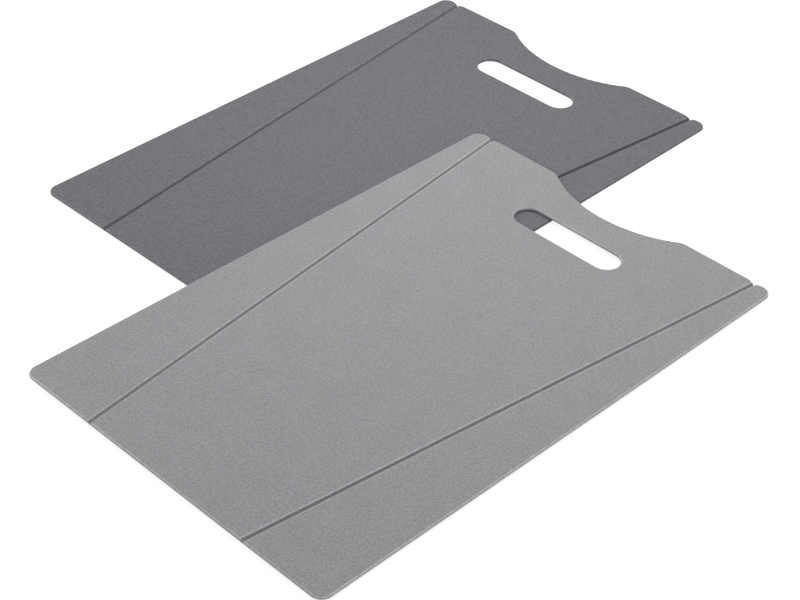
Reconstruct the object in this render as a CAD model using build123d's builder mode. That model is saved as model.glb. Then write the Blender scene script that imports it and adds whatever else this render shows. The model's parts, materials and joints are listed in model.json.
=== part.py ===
from build123d import *

import os
from math import atan2, cos, radians, sin, sqrt

# Two folding chopping boards, moulded alike in thin flexible sheet, with one laid partly over
# the other. Each board has a finger slot and a scooped edge at its handle end, and two slanting
# fold lines that let its side wings fold up into a chute.
#
# Millimetres, +Z up. The origin is the centre of the lower board's underside, +X points to its
# handle end and +Y to its left wing.

# ---- Sheet ----
board_length = 380.0        # plain end to handle end
board_width = 249.0
sheet_thickness = 2.0
corner_radius = 7.5         # the four outer corners, seen from above
top_edge_radius = 1.0       # rounding of the rims and groove lips, seen from the side
underside_edge_radius = 0.45

# ---- Fold lines ----
wing_width_plain = 60.5     # outer edge to the fold line, at the plain end
wing_width_handle = 13.5    # the same at the handle end
web_thickness = 0.5         # what is left of the sheet under a fold line
web_width = 0.8             # flat floor of the fold groove
groove_wall_run = 1.3       # sideways run of each sloping groove wall
notch_depth = 1.8           # of the shallow V at the handle end, where the web stops
notch_half_width = 4.5      # of the V, where it opens out of the handle edge
notch_corner_radius = 5.0   # rounded corners on each side of the V

# ---- Handle end ----
slot_length = 84.0
slot_width = 19.5
slot_inset = 50.5           # handle end to the middle of the slot
scoop_radius = 94.0
scoop_depth = 16.7
scoop_lip_radius = 8.0

# ---- Upper board, laid over the lower one ----
upper_shift_x = -125.8      # its centre, from the lower board's centre
upper_shift_y = -144.4
upper_turn = -0.79          # degrees, about the vertical

# ---- Worked out from the sizes above ----
plain_end = -board_length / 2
handle_end = board_length / 2
side_edge = board_width / 2
fold_plain = side_edge - wing_width_plain
fold_handle = side_edge - wing_width_handle
fold_angle = atan2(fold_handle - fold_plain, board_length)
half_web = web_width / 2 / cos(fold_angle)
half_groove = web_width / 2 + groove_wall_run
notch_floor = handle_end - notch_depth
notch_shoulder = notch_floor + notch_depth * half_web / notch_half_width
scoop_half_width = sqrt(scoop_radius**2 - (scoop_radius - scoop_depth) ** 2)

LEFT = 1
RIGHT = -1
SIDES = {"left": LEFT, "right": RIGHT}


def laid_flat(x, y, z, turn):
    """The plane of a board's underside, with its origin at the board's centre."""
    heading = Vector(cos(radians(turn)), sin(radians(turn)), 0)
    return Plane(origin=(x, y, z), x_dir=heading, z_dir=(0, 0, 1))


BOARDS = {
    "lower": laid_flat(0, 0, 0, 0),
    "upper": laid_flat(upper_shift_x, upper_shift_y, sheet_thickness, upper_turn),
}


def fold_offset(x):
    """Distance of a fold line from the board's centre line, at a place along the board."""
    along = (x - plain_end) / board_length
    return fold_plain + (fold_handle - fold_plain) * along


def fold_line(board, side):
    """A fold line on the board's underside, from half way along it towards the handle end."""
    along = board.x_dir * cos(fold_angle) + board.y_dir * side * sin(fold_angle)
    middle = board.from_local_coords(Vector(0, side * fold_offset(0), 0))
    return Axis(middle, along)


def groove_section(line):
    """Section of one fold groove, square across its line: a flat floor, two sloping walls."""
    across = Vector(0, 0, 1).cross(line.direction)
    with BuildSketch(Plane(line.position, x_dir=across, z_dir=line.direction)) as section:
        with BuildLine():
            Polyline(
                (-web_width / 2, web_thickness),
                (web_width / 2, web_thickness),
                (half_groove, sheet_thickness),
                (half_groove, 2 * sheet_thickness),
                (-half_groove, 2 * sheet_thickness),
                (-half_groove, sheet_thickness),
                close=True,
            )
        make_face()
    return section.sketch


def corner_at(x, y):
    """The corner of the sketch in hand that lies nearest to a place on the board."""
    return vertices().sort_by_distance((x, y, 0))[0]


def round_rims(piece, fold_lines):
    """Round the edges of the top face, and those of the underside that no web meets."""
    top = piece.faces().sort_by(Axis.Z)[-1]
    fillet(top.edges(), min(top_edge_radius, 0.5 * sheet_thickness))
    underside = piece.faces().sort_by(Axis.Z)[0]
    free_edges = underside.edges()
    for line in fold_lines:
        free_edges = free_edges.filter_by(line, reverse=True)
    fillet(free_edges, min(underside_edge_radius, 0.25 * sheet_thickness))


def make_centre_panel(board):
    """The middle of a board, with its finger slot and scooped handle end."""
    inner_plain = fold_plain - half_web
    inner_shoulder = fold_offset(notch_shoulder) - half_web
    notch_mouth = fold_offset(notch_floor) - notch_half_width
    fold_lines = [fold_line(board, side) for side in SIDES.values()]
    with BuildPart() as centre_panel:
        with BuildSketch(board):
            with BuildLine():
                Polyline(
                    (handle_end, -scoop_half_width),
                    (handle_end, -notch_mouth),
                    (notch_shoulder, -inner_shoulder),
                    (plain_end, -inner_plain),
                    (plain_end, inner_plain),
                    (notch_shoulder, inner_shoulder),
                    (handle_end, notch_mouth),
                    (handle_end, scoop_half_width),
                )
                ThreePointArc(
                    (handle_end, scoop_half_width),
                    (handle_end - scoop_depth, 0),
                    (handle_end, -scoop_half_width),
                )
            make_face()
            for side in SIDES.values():
                fillet(corner_at(handle_end, side * notch_mouth), notch_corner_radius)
                fillet(corner_at(handle_end, side * scoop_half_width), scoop_lip_radius)
            with Locations((handle_end - slot_inset, 0)):
                SlotOverall(slot_length, slot_width, rotation=90, mode=Mode.SUBTRACT)
        extrude(amount=sheet_thickness)
        for line in fold_lines:
            extrude(groove_section(line), amount=board_length, both=True, mode=Mode.SUBTRACT)
        round_rims(centre_panel, fold_lines)
    return centre_panel


def make_wing(board, side):
    """A long side flap, wide at the plain end and narrow at the handle end."""
    inner_plain = fold_plain + half_web
    inner_shoulder = fold_offset(notch_shoulder) + half_web
    notch_mouth = fold_offset(notch_floor) + notch_half_width
    tip_width = side_edge - notch_mouth
    line = fold_line(board, side)
    with BuildPart() as wing:
        with BuildSketch(board):
            with BuildLine():
                Polyline(
                    (plain_end, side * inner_plain),
                    (notch_shoulder, side * inner_shoulder),
                    (handle_end, side * notch_mouth),
                    (handle_end, side * side_edge),
                    (plain_end, side * side_edge),
                    close=True,
                )
            make_face()
            fillet(corner_at(plain_end, side * side_edge), corner_radius)
            fillet(corner_at(handle_end, side * side_edge), min(corner_radius, 0.8 * tip_width))
            fillet(corner_at(handle_end, side * notch_mouth), notch_corner_radius)
        extrude(amount=sheet_thickness)
        extrude(groove_section(line), amount=board_length, both=True, mode=Mode.SUBTRACT)
        round_rims(wing, [line])
    return wing


def make_hinge_web(board, side):
    """The thin strip of sheet left under a fold line, which bends as the wing folds."""
    with BuildPart() as hinge_web:
        with BuildSketch(board):
            with BuildLine():
                Polyline(
                    (plain_end, side * (fold_plain - half_web)),
                    (plain_end, side * (fold_plain + half_web)),
                    (notch_floor, side * (fold_offset(notch_floor) + half_web)),
                    (notch_floor, side * (fold_offset(notch_floor) - half_web)),
                    close=True,
                )
            make_face()
        extrude(amount=web_thickness)
    return hinge_web


def keep(piece, name):
    piece.part.label = name
    export_step(piece.part, f"parts/{name}.step")


os.makedirs("parts", exist_ok=True)
for board_name, board in BOARDS.items():
    keep(make_centre_panel(board), f"{board_name}_centre_panel")
    for side_name, side in SIDES.items():
        keep(make_wing(board, side), f"{board_name}_{side_name}_wing")
        keep(make_hinge_web(board, side), f"{board_name}_{side_name}_hinge_web")
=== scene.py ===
"""Looks for a set of two folding chopping boards in grained polypropylene.

Metres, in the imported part's frame: the origin is the centre of the lower board's underside,
+X points to its handle end and +Z up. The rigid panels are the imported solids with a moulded
finish. The living hinges are made here, because they bend as the wings fold.
"""
import json
from math import radians

import bmesh
import bpy
from mathutils import Matrix, Vector


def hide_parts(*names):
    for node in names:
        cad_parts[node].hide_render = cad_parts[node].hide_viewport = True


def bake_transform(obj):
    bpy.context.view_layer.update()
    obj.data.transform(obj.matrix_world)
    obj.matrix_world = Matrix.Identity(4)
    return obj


MM = 0.001

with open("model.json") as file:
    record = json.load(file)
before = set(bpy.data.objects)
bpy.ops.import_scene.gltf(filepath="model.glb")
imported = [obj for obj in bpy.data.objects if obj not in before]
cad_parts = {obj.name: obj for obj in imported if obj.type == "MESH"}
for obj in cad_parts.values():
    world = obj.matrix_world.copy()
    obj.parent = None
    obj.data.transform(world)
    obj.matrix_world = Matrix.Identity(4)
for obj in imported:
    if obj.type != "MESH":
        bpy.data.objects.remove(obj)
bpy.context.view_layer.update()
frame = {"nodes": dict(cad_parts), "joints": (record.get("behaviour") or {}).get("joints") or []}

# ---- Camera: the photograph's viewpoint ----
CAMERA_PLACE = Vector((-0.7962, -0.7608, 0.7197))
CAMERA_HEADING = radians(43.075)    # from +X towards +Y
CAMERA_PITCH = radians(37.287)      # below the horizon
CAMERA_ROLL = radians(2.039)
CAMERA_LENS = 87.88                 # millimetres
SENSOR_WIDTH = 36.0

# ---- Colours as they are mixed ----
LIGHT_GREY = "#868689"
DARK_GREY = "#4B4C51"
# Painted shade and light in the smooth grooves: the dark board's are drawn deeper, as polished
# dark plastic looks, and the light board's paler, for the light its plastic lets through.
LIGHT_GREY_WITH_PAINTED_GROOVE_LIGHT = "#8C8C8F"
DARK_GREY_WITH_PAINTED_GROOVE_SHADE = "#3D3E42"

# ---- Real sizes of the moulded surface, in millimetres ----
# The real grain is about 0.05 deep; it is drawn deeper so that it shows, with painted light on
# its tops and painted shade in its creases.
GRAIN_CELL = 1.25
GRAIN_DEPTH = 0.24
GRAIN_WANDER = 0.8      # how far the cells stray from round
PITTING_CELL = 0.8
PITTING_DEPTH = 0.10
SHADE_PATCH = 22.0

# ---- How the colour varies ----
PATCH_SHADE = 0.03              # how much paler or deeper it is from patch to patch
PATCH_RANGE = (0.3, 0.7)        # noise values of the deepest and the palest patches
# The pebbles get painted light on their tops and painted shade in their creases.
PEBBLE_RANGE = (0.2, 0.75)      # from a pebble's pale top to the creases around it, in cells

PLASTIC_IOR = 1.49
GRAIN_ROUGHNESS = 0.5
EDGE_ROUGHNESS = 0.34

# ---- Slopes of the faces, by how upright their normal is: 1 is flat, 0 is a vertical wall ----
FLAT_FADE = (0.97, 0.998)                   # from polished edges to grained flats
# A highlight is painted on these slopes.
LIP_HIGHLIGHT_FADES = ((0.70, 0.78), (0.985, 1.0))    # the rounded rims and groove lips
# Painted shade and painted light go on these slopes.
PAINTED_GROOVE_FADES = ((0.50, 0.58), (0.70, 0.78))   # the sloping walls of the grooves

BOARDS_MIDDLE = Vector((-0.06, -0.07, 0.0))     # where the lights point

# ---- White paper under the boards ----
PAPER_WHITE = 0.80      # what it gives back to the boards
PAPER_SEEN = 0.35       # what it shows to the camera of the light and shadow on it
PAPER_GLOW = 0.83       # the rest of the white that it shows to the camera
FLOOR_HALF = 1.0
FLOOR_DROP = 0.2 * MM   # below the boards' underside, so that the two don't share a plane

# ---- Studio lights: name, place, width and height in metres, and power in watts ----
SOFTBOXES = [
    ("back_near_softbox", (0.375, 0.335, 0.535), 0.6, 0.4, 2.3),
    ("side_low_softbox", (-0.229, 1.310, 0.562), 0.6, 0.5, 9.0),
    ("left_low_softbox", (-1.094, 0.861, 0.562), 0.6, 0.5, 8.5),
    ("right_back_softbox", (1.150, -0.283, 0.860), 0.8, 0.6, 5.5),
    ("key_softbox", (0.40, -0.62, 1.22), 0.4, 0.6, 5.5),
    ("front_right_softbox", (-0.319, -1.536, 0.183), 1.0, 0.3, 13.2),
    ("front_left_softbox", (-1.498, -0.455, 0.183), 0.8, 0.3, 4.5),
]
WORLD_FILL = 0.06       # soft light from all around


def from_hex(code):
    """An sRGB hex colour as linear red, green, blue and alpha."""
    channels = [int(code[i : i + 2], 16) / 255 for i in (1, 3, 5)]
    return [c / 12.92 if c <= 0.04045 else ((c + 0.055) / 1.055) ** 2.4 for c in channels] + [1.0]


def add_node(tree, kind, inputs=None, **settings):
    """Add a node to a material or world, with its settings and its inputs' values or links."""
    node = tree.nodes.new(kind)
    for name, value in settings.items():
        setattr(node, name, value)
    for socket, source in (inputs or {}).items():
        if isinstance(source, bpy.types.NodeSocket):
            tree.links.new(source, node.inputs[socket])
        else:
            node.inputs[socket].default_value = source
    return node


def new_tree(name):
    """An empty material and its node tree."""
    material = bpy.data.materials.new(name)
    material.use_nodes = True
    material.node_tree.nodes.clear()
    return material, material.node_tree


# ---- Materials ----


def moulded_grain(tree, place):
    """The distance from the nearest pebble's middle, and the height of the finer pitting."""
    wander = add_node(
        tree,
        "ShaderNodeTexNoise",
        {"Vector": place, "Scale": 1 / (GRAIN_CELL * MM), "Detail": 0.0},
    )
    bent = add_node(
        tree,
        "ShaderNodeVectorMath",
        {0: wander.outputs["Color"], 1: (GRAIN_WANDER * MM,) * 3, 2: place},
        operation="MULTIPLY_ADD",
    )
    pebbles = add_node(
        tree,
        "ShaderNodeTexVoronoi",
        {"Vector": bent.outputs[0], "Scale": 1 / (GRAIN_CELL * MM), "Smoothness": 0.2},
        feature="SMOOTH_F1",
    )
    pitting = add_node(
        tree,
        "ShaderNodeTexNoise",
        {"Vector": place, "Scale": 1 / (PITTING_CELL * MM), "Detail": 2.0},
    )
    return pebbles.outputs["Distance"], pitting.outputs[0]


def grained_normal(tree, pebbles, pitting, flat):
    """The normal of the grain where a face is flat, and the plain normal elsewhere."""
    pebble_bump = add_node(
        tree,
        "ShaderNodeBump",
        {"Height": pebbles, "Distance": GRAIN_DEPTH * MM, "Strength": flat},
        invert=True,
    )
    pitted_bump = add_node(
        tree,
        "ShaderNodeBump",
        {
            "Height": pitting,
            "Distance": PITTING_DEPTH * MM,
            "Strength": flat,
            "Normal": pebble_bump.outputs[0],
        },
    )
    return pitted_bump.outputs[0]


def grain_tone_and_painted_shading(tree, place, pebbles, painted_pebble_shading):
    """The colour's brightness: broad faint patches of random tone, with painted light on the
    pebbles' tops and painted shade in the creases around them.
    """
    patches = add_node(
        tree,
        "ShaderNodeTexNoise",
        {"Vector": place, "Scale": 1 / (SHADE_PATCH * MM), "Detail": 3.0},
    )
    patch_shade = add_node(
        tree,
        "ShaderNodeMapRange",
        {
            "Value": patches.outputs[0],
            "From Min": PATCH_RANGE[0],
            "From Max": PATCH_RANGE[1],
            "To Min": 1 - PATCH_SHADE,
            "To Max": 1 + PATCH_SHADE,
        },
    )
    # Painted light on the pebbles' tops and painted shade in the creases around them.
    pebble_painted_shading = add_node(
        tree,
        "ShaderNodeMapRange",
        {
            "Value": pebbles,
            "From Min": PEBBLE_RANGE[0],
            "From Max": PEBBLE_RANGE[1],
            "To Min": 1 + painted_pebble_shading,
            "To Max": 1 - painted_pebble_shading,
        },
    )
    brightness = add_node(
        tree,
        "ShaderNodeMath",
        {0: patch_shade.outputs[0], 1: pebble_painted_shading.outputs[0]},
        operation="MULTIPLY",
    )
    return brightness.outputs[0]


def slope_band(tree, upright, fade_in, fade_out):
    """1 where a face's slope lies in a band, by how upright its normal is, fading to 0 past it."""
    past_start = add_node(
        tree,
        "ShaderNodeMapRange",
        {"Value": upright, "From Min": fade_in[0], "From Max": fade_in[1]},
    )
    before_end = add_node(
        tree,
        "ShaderNodeMapRange",
        {"Value": upright, "From Min": fade_out[1], "From Max": fade_out[0]},
    )
    band = add_node(
        tree,
        "ShaderNodeMath",
        {0: past_start.outputs[0], 1: before_end.outputs[0]},
        operation="MULTIPLY",
    )
    return band.outputs[0]


def grained_polypropylene(name, colour, painted_groove_colour, painted_pebble_shading, painted_lip_highlight, seed):
    """Polypropylene injection-moulded against a leather-grained tool.

    The flat faces carry shallow pebbles and finer pitting, which break a satin sheen into soft
    specks, with painted light on the pebbles' tops and painted shade in their creases. The
    edges, slot and groove walls come from polished steel, so they stay smooth. The groove walls
    carry painted shade on the dark board and painted light on the light board. The rounded rims
    and lips catch a line of light too thin to show by itself, so a highlight is painted on them.
    The seed shifts the grain, so that the two boards don't repeat it.
    """
    material, tree = new_tree(name)
    face = add_node(tree, "ShaderNodeTexCoord")
    shifted = add_node(
        tree, "ShaderNodeVectorMath", {0: face.outputs["Object"], 1: (seed, seed / 3, 0)}
    )
    place = shifted.outputs[0]
    pebbles, pitting = moulded_grain(tree, place)
    facing = add_node(tree, "ShaderNodeSeparateXYZ", {0: face.outputs["Normal"]})
    either_way_up = add_node(
        tree, "ShaderNodeMath", {0: facing.outputs["Z"]}, operation="ABSOLUTE"
    )
    upright = either_way_up.outputs[0]
    flat = add_node(
        tree,
        "ShaderNodeMapRange",
        {"Value": upright, "From Min": FLAT_FADE[0], "From Max": FLAT_FADE[1]},
        interpolation_type="SMOOTHSTEP",
    )
    # A highlight painted on the rounded rims and groove lips.
    painted_lip_gain = add_node(
        tree,
        "ShaderNodeMapRange",
        {"Value": slope_band(tree, upright, *LIP_HIGHLIGHT_FADES), "To Min": 1.0, "To Max": 1 + painted_lip_highlight},
    )
    brightness = add_node(
        tree,
        "ShaderNodeMath",
        {0: grain_tone_and_painted_shading(tree, place, pebbles, painted_pebble_shading), 1: painted_lip_gain.outputs[0]},
        operation="MULTIPLY",
    )
    # Sockets 6 and 7 are this node's two colours: the board's own, and on the groove walls a
    # colour with painted shade on the dark board and painted light on the light board.
    colour_with_painted_grooves = add_node(
        tree,
        "ShaderNodeMix",
        {
            0: slope_band(tree, upright, *PAINTED_GROOVE_FADES),
            6: from_hex(colour),
            7: from_hex(painted_groove_colour),
        },
        data_type="RGBA",
    )
    tinted = add_node(
        tree,
        "ShaderNodeVectorMath",
        {0: colour_with_painted_grooves.outputs[2], "Scale": brightness.outputs[0]},
        operation="SCALE",
    )
    roughness = add_node(
        tree,
        "ShaderNodeMapRange",
        {"Value": flat.outputs[0], "To Min": EDGE_ROUGHNESS, "To Max": GRAIN_ROUGHNESS},
    )
    surface = add_node(
        tree,
        "ShaderNodeBsdfPrincipled",
        {
            "Base Color": tinted.outputs[0],
            "Roughness": roughness.outputs[0],
            "IOR": PLASTIC_IOR,
            "Normal": grained_normal(tree, pebbles, pitting, flat.outputs[0]),
        },
    )
    add_node(tree, "ShaderNodeOutputMaterial", {"Surface": surface.outputs[0]})
    return material


def polished_polypropylene(name, colour):
    """The same plastic off polished steel, as in the fold grooves: smooth, with a low even gloss."""
    material, tree = new_tree(name)
    surface = add_node(
        tree,
        "ShaderNodeBsdfPrincipled",
        {"Base Color": from_hex(colour), "Roughness": EDGE_ROUGHNESS, "IOR": PLASTIC_IOR},
    )
    add_node(tree, "ShaderNodeOutputMaterial", {"Surface": surface.outputs[0]})
    return material


def white_seen(tree):
    """1 for rays that show the surroundings as white: seen directly, in gloss or through glass."""
    paths = add_node(tree, "ShaderNodeLightPath")
    seen_or_glossy = add_node(
        tree,
        "ShaderNodeMath",
        {0: paths.outputs["Is Camera Ray"], 1: paths.outputs["Is Glossy Ray"]},
        operation="MAXIMUM",
    )
    any_of_them = add_node(
        tree,
        "ShaderNodeMath",
        {0: seen_or_glossy.outputs[0], 1: paths.outputs["Is Transmission Ray"]},
        operation="MAXIMUM",
    )
    return any_of_them.outputs[0]


def studio_floor():
    """Matt white paper: it keeps the boards' soft shadow, and shows to the camera as white."""
    material, tree = new_tree("matt_white_paper")
    paper = add_node(tree, "ShaderNodeBsdfDiffuse", {"Color": (PAPER_WHITE,) * 3 + (1.0,)})
    seen_paper = add_node(tree, "ShaderNodeBsdfDiffuse", {"Color": (PAPER_SEEN,) * 3 + (1.0,)})
    glow = add_node(tree, "ShaderNodeEmission", {"Strength": PAPER_GLOW})
    bright_paper = add_node(
        tree, "ShaderNodeAddShader", {0: seen_paper.outputs[0], 1: glow.outputs[0]}
    )
    shown = add_node(
        tree,
        "ShaderNodeMixShader",
        {0: white_seen(tree), 1: paper.outputs[0], 2: bright_paper.outputs[0]},
    )
    add_node(tree, "ShaderNodeOutputMaterial", {"Surface": shown.outputs[0]})
    return material


# ---- Stage ----


def make_camera():
    camera = bpy.data.objects.new("camera", bpy.data.cameras.new("camera"))
    camera.data.sensor_width = SENSOR_WIDTH
    camera.data.lens = CAMERA_LENS
    turn = Matrix.Rotation(CAMERA_HEADING - radians(90), 4, "Z")
    tilt = Matrix.Rotation(radians(90) - CAMERA_PITCH, 4, "X")
    roll = Matrix.Rotation(CAMERA_ROLL, 4, "Z")
    camera.matrix_world = Matrix.Translation(CAMERA_PLACE) @ turn @ tilt @ roll
    bpy.context.scene.collection.objects.link(camera)
    bpy.context.scene.camera = camera


def add_softbox(name, place, width, height, power):
    """A rectangular studio softbox that points at the middle of the boards."""
    lamp = bpy.data.lights.new(name, "AREA")
    lamp.shape = "RECTANGLE"
    lamp.size = width
    lamp.size_y = height
    lamp.energy = power
    box = bpy.data.objects.new(name, lamp)
    box.location = place
    box.rotation_mode = "QUATERNION"
    box.rotation_quaternion = (BOARDS_MIDDLE - Vector(place)).to_track_quat("-Z", "Y")
    bpy.context.scene.collection.objects.link(box)


def make_floor():
    mesh = bpy.data.meshes.new("floor")
    corners = [(x * FLOOR_HALF, y * FLOOR_HALF, 0) for x, y in ((-1, -1), (1, -1), (1, 1), (-1, 1))]
    mesh.from_pydata(corners, [], [(0, 1, 2, 3)])
    mesh.materials.append(studio_floor())
    floor = bpy.data.objects.new("floor", mesh)
    floor.location = BOARDS_MIDDLE - Vector((0, 0, FLOOR_DROP))
    bpy.context.scene.collection.objects.link(floor)


def make_world():
    world = bpy.data.worlds.new("studio")
    bpy.context.scene.world = world
    world.use_nodes = True
    world.node_tree.nodes.clear()
    tree = world.node_tree
    fill = add_node(tree, "ShaderNodeBackground", {"Color": (1, 1, 1, 1), "Strength": WORLD_FILL})
    white = add_node(tree, "ShaderNodeBackground", {"Color": (1, 1, 1, 1), "Strength": 1.0})
    shown = add_node(
        tree,
        "ShaderNodeMixShader",
        {0: white_seen(tree), 1: fill.outputs[0], 2: white.outputs[0]},
    )
    add_node(tree, "ShaderNodeOutputWorld", {"Surface": shown.outputs[0]})


make_camera()
make_world()
make_floor()
for softbox in SOFTBOXES:
    add_softbox(*softbox)
bpy.context.scene.view_settings.view_transform = "Standard"

# ---- Rigid panels: the imported solids with a moulded finish ----
# The dark board's pebbles get more painted light and shade, because less of its colour shows
# under the sheen; its lips get less painted highlight.
finishes = {
    "lower": grained_polypropylene(
        "moulded_polypropylene_dark_grey",
        DARK_GREY,
        DARK_GREY_WITH_PAINTED_GROOVE_SHADE,
        painted_pebble_shading=0.36,
        painted_lip_highlight=0.10,
        seed=7.3,
    ),
    "upper": grained_polypropylene(
        "moulded_polypropylene_light_grey",
        LIGHT_GREY,
        LIGHT_GREY_WITH_PAINTED_GROOVE_LIGHT,
        painted_pebble_shading=0.17,
        painted_lip_highlight=0.50,
        seed=2.1,
    ),
}
for name, node in frame["nodes"].items():
    board = name.split("_")[0]
    node.data.materials.clear()
    node.data.materials.append(finishes[board])

# ---- Living hinges ----
HINGE_STEPS = 8         # facets across a hinge, so that it bends round
HINGE_WAIST = 0.55      # thickness along the middle of a hinge, as a share of that at its edges
SHEET_SLOTS = {"lower": "dark_sheet", "upper": "light_sheet"}
# The hinges carry the grooves' painted shade on the dark board and painted light on the light one.
hinge_finishes = {
    "lower": polished_polypropylene("polished_polypropylene_dark_grey", DARK_GREY_WITH_PAINTED_GROOVE_SHADE),
    "upper": polished_polypropylene("polished_polypropylene_light_grey", LIGHT_GREY_WITH_PAINTED_GROOVE_LIGHT),
}


def web_corners(web, directions):
    """The eight corners of a hinge's plain solid, by whether each lies past its middle each way."""
    places = [vertex.co.copy() for vertex in frame["nodes"][web].data.vertices]
    middle = sum(places, Vector()) / len(places)
    corners = {}
    for place in places:
        sides = tuple((place - middle).dot(direction) > 0 for direction in directions)
        corners[sides] = place
    return corners


def cross_section(mesh, corners, end):
    """One end of a hinge: along its arched underside, and back along its flat top.

    The arch keeps the bent hinge clear of what lies under it.
    """
    underside = []
    top = []
    for step in range(HINGE_STEPS + 1):
        share = step / HINGE_STEPS
        below = corners[end, False, False].lerp(corners[end, True, False], share)
        above = corners[end, False, True].lerp(corners[end, True, True], share)
        arch = (1 - HINGE_WAIST) * (1 - (2 * share - 1) ** 2)
        underside.append(mesh.verts.new(below.lerp(above, arch)))
        top.append(mesh.verts.new(above))
    return underside + top[::-1]


def make_hinge(board, side):
    """A thin strip of the sheet that bends between the centre panel and a wing."""
    web = f"{board}_{side}_hinge_web"
    fold = next(j for j in frame["joints"] if j["name"] == f"{board}_{side}_wing_fold")
    up = Vector((0, 0, 1))
    along = Vector(fold["axis"])
    across = up.cross(along)        # from the panel towards the wing
    corners = web_corners(web, (along, across, up))
    mesh = bmesh.new()
    first = cross_section(mesh, corners, False)
    second = cross_section(mesh, corners, True)
    for i in range(len(first)):
        mesh.faces.new((first[i - 1], first[i], second[i], second[i - 1]))
    mesh.faces.new(first)
    mesh.faces.new(second)
    bmesh.ops.recalc_face_normals(mesh, faces=mesh.faces)
    hinge_mesh = bpy.data.meshes.new(f"{board}_{side}_living_hinge")
    mesh.to_mesh(hinge_mesh)
    mesh.free()
    hinge_mesh.materials.append(hinge_finishes[board])
    hinge = bpy.data.objects.new(f"{board}_{side}_living_hinge", hinge_mesh)
    bpy.context.scene.collection.objects.link(hinge)
    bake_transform(hinge)
    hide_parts(web)


for board in SHEET_SLOTS:
    for side in ("left", "right"):
        make_hinge(board, side)
